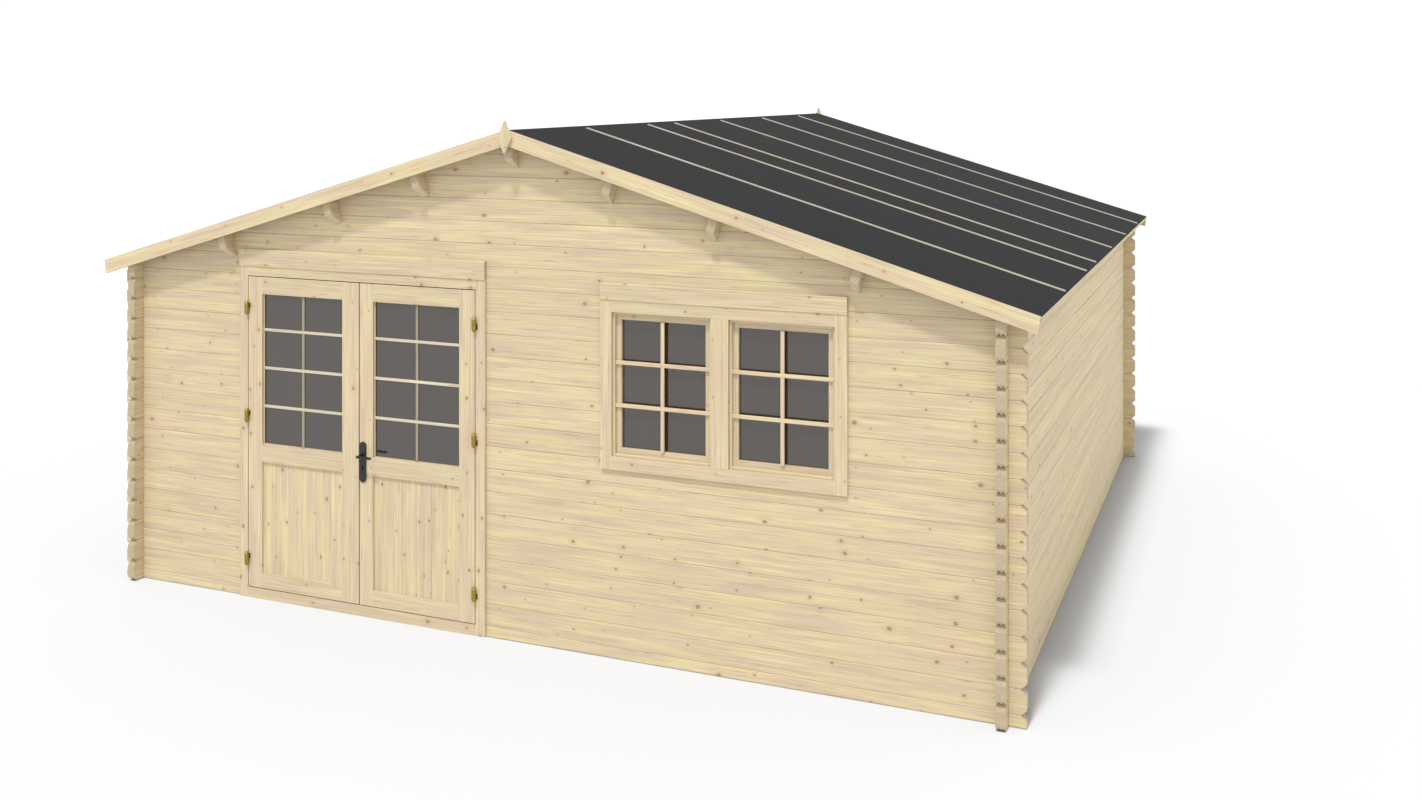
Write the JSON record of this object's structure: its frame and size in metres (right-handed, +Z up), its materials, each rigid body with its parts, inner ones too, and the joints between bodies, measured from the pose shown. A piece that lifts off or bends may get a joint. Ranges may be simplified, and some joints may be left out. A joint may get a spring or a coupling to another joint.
{
  "type": "log cabin",
  "caption": "Square log cabin with interlocked corner logs, a low felted gable roof on purlins, a half-glazed double door that opens and a double window.",
  "frame": {"origin": "middle of the footprint at ground level, halfway along and across the roof", "axes": "+X right along the front, +Y from the front to the back, +Z up; the front faces -Y"},
  "size_m": [5.514, 5.358, 2.761],
  "materials": {
    "spruce": "planed, untreated",
    "felt": "fine mineral grit",
    "glass": "clear, dark room behind",
    "brass": "dull passivated",
    "black_metal": "satin black"
  },
  "bodies": {
    "cabin": {"front_wall_left": "spruce", "front_wall_low": "spruce", "front_wall_middle": "spruce", "front_wall_right": "spruce", "front_wall_top": "spruce", "front_gable": "spruce", "back_wall": "spruce", "back_gable": "spruce", "left_wall": "spruce", "right_wall": "spruce", "ridge_purlin": "spruce", "side_purlins": "spruce", "left_roof_boards": "spruce", "right_roof_boards": "spruce", "left_felt": "felt", "right_felt": "felt", "felt_battens": "spruce", "front_bargeboards": "spruce", "back_bargeboards": "spruce", "finials": "spruce", "eave_trims": "spruce", "door_posts": "spruce", "door_head": "spruce", "door_stops": "spruce", "door_sill": "spruce", "door_header": "spruce", "window_posts": "spruce", "window_rails": "spruce", "window_header": "spruce", "sash_stiles": "spruce", "sash_rails": "spruce", "window_glass": "glass", "hinge_pins": "brass"},
    "left_door": {"left_leaf_stiles": "spruce", "left_leaf_rails": "spruce", "left_leaf_panel": "spruce", "left_leaf_glass": "glass", "left_leaf_hinges": "brass"},
    "right_door": {"right_leaf_stiles": "spruce", "right_leaf_rails": "spruce", "right_leaf_panel": "spruce", "right_leaf_glass": "glass", "right_leaf_hinges": "brass", "handle_plates": "black_metal"},
    "lever": {"lever_handle": "black_metal"}
  },
  "joints": [
    {"name": "left_door_hinge", "type": "hinge", "parent": "cabin", "child": "left_door", "pos_m": [-1.7535, -2.5935, 1], "axis": [0, 0, -1], "range_deg": [0, 120]},
    {"name": "right_door_hinge", "type": "hinge", "parent": "cabin", "child": "right_door", "pos_m": [-0.2365, -2.5935, 1], "axis": [0, 0, 1], "range_deg": [0, 120]},
    {"name": "lever_turn", "type": "hinge", "parent": "right_door", "child": "lever", "pos_m": [-0.9565, -2.58, 0.898], "axis": [0, 1, 0], "range_deg": [0, 40]}
  ]
}
